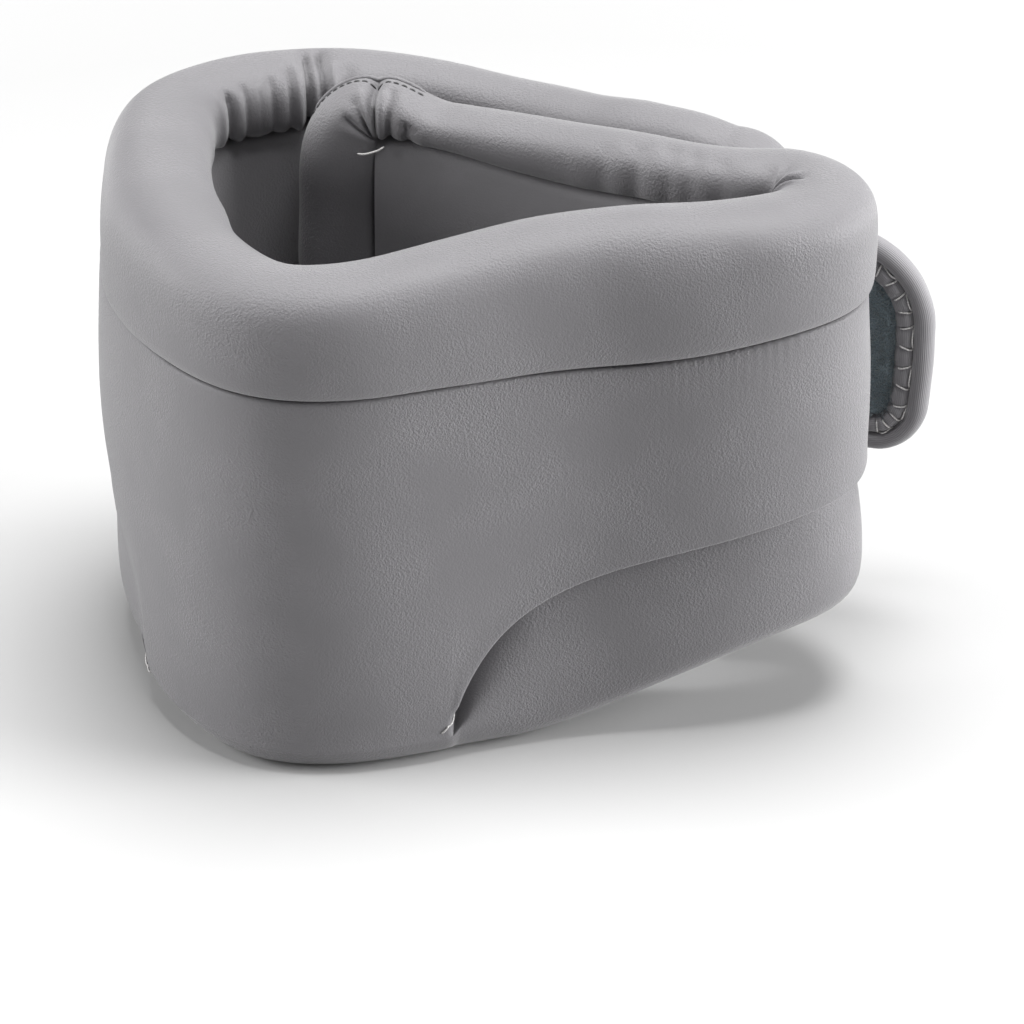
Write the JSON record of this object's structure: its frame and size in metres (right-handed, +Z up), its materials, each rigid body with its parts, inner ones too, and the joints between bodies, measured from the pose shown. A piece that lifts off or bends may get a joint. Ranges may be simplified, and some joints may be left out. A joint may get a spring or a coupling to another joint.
{
  "type": "cervical collar",
  "caption": "Soft foam neck collar in pebbled leather-look fabric, rolled top edge, chin dip, rounded front tongue, overlapping wings and a hook-and-loop closure tab.",
  "frame": {"origin": "centre of the overall bounding box, on the plane the collar stands on", "axes": "+Z up, +X along the closed collar's long way towards the closure tab, -Y to the side of the centre front and right side"},
  "size_m": [0.1948, 0.1292, 0.127],
  "materials": {
    "cover_leather": "satin, fine pebbled grain",
    "lining_leather": "satin, fine pebbled grain",
    "foam": "matte open-cell foam",
    "knit_binding": "matte ribbed elastic knit",
    "hook_tape": "matte woven hook tape",
    "loop_fabric": "matte fuzzy loop pile",
    "sewing_thread": "matte sewing thread"
  },
  "bodies": {
    "front": {"front_top_roll_core": "foam", "front_panel_core": "foam", "front_top_roll_cover": "cover_leather", "front_outer_panel": "cover_leather", "front_lining": "lining_leather"},
    "left_side": {"left_side_top_roll_core": "foam", "left_side_panel_core": "foam", "left_side_lower_roll_core": "foam", "left_side_top_roll_cover": "cover_leather", "left_side_outer_panel": "cover_leather", "left_side_lining": "lining_leather", "left_side_lower_roll_cover": "cover_leather"},
    "left_wing": {"left_wing_top_roll_core": "foam", "left_wing_panel_core": "foam", "left_wing_lower_roll_core": "foam", "left_wing_top_roll_cover": "cover_leather", "left_wing_outer_panel": "cover_leather", "left_wing_lining": "lining_leather", "left_wing_lower_roll_cover": "cover_leather", "left_wing_end_core": "foam", "left_wing_end_cover": "cover_leather", "tab_anchor_tail": "knit_binding", "tab_anchor_thread": "sewing_thread"},
    "right_side": {"right_side_top_roll_core": "foam", "right_side_panel_core": "foam", "right_side_lower_roll_core": "foam", "right_side_top_roll_cover": "cover_leather", "right_side_outer_panel": "cover_leather", "right_side_lining": "lining_leather", "right_side_lower_roll_cover": "cover_leather"},
    "right_wing": {"right_wing_top_roll_core": "foam", "right_wing_panel_core": "foam", "right_wing_lower_roll_core": "foam", "right_wing_top_roll_cover": "cover_leather", "right_wing_outer_panel": "cover_leather", "right_wing_lining": "lining_leather", "right_wing_lower_roll_cover": "cover_leather", "right_wing_end_core": "foam", "right_wing_end_cover": "cover_leather", "hook_band": "hook_tape", "hook_band_upper_stitching": "sewing_thread", "hook_band_lower_stitching": "sewing_thread"},
    "closure_tab": {"tab_knit_binding": "knit_binding", "tab_backing": "knit_binding", "tab_loop_patch": "loop_fabric", "tab_zigzag_thread": "sewing_thread"}
  },
  "joints": [
    {"name": "left_side_bend", "type": "hinge", "parent": "front", "child": "left_side", "pos_m": [-0.09053, -0.02213, 0], "axis": [0, 0, 1], "range_deg": [0, 45]},
    {"name": "left_wing_bend", "type": "hinge", "parent": "left_side", "child": "left_wing", "pos_m": [-0.07618, 0.05602, 0], "axis": [0, 0, 1], "range_deg": [0, 54]},
    {"name": "right_side_bend", "type": "hinge", "parent": "front", "child": "right_side", "pos_m": [-0.00706, -0.05508, 0], "axis": [0, 0, 1], "range_deg": [-22.5, 0]},
    {"name": "right_wing_bend", "type": "hinge", "parent": "right_side", "child": "right_wing", "pos_m": [0.05051, 0.00668, 0], "axis": [0, 0, 1], "range_deg": [-45, 0]},
    {"name": "tab_flex", "type": "hinge", "parent": "left_wing", "child": "closure_tab", "pos_m": [0.07206, 0.02627, 0], "axis": [0, 0, 1], "range_deg": [-5, 75]}
  ],
  "couplings": [
    {"joint": "left_wing_bend", "follows": "left_side_bend", "ratio": 1.2},
    {"joint": "right_side_bend", "follows": "left_side_bend", "ratio": -0.5},
    {"joint": "right_wing_bend", "follows": "left_side_bend", "ratio": -1}
  ]
}
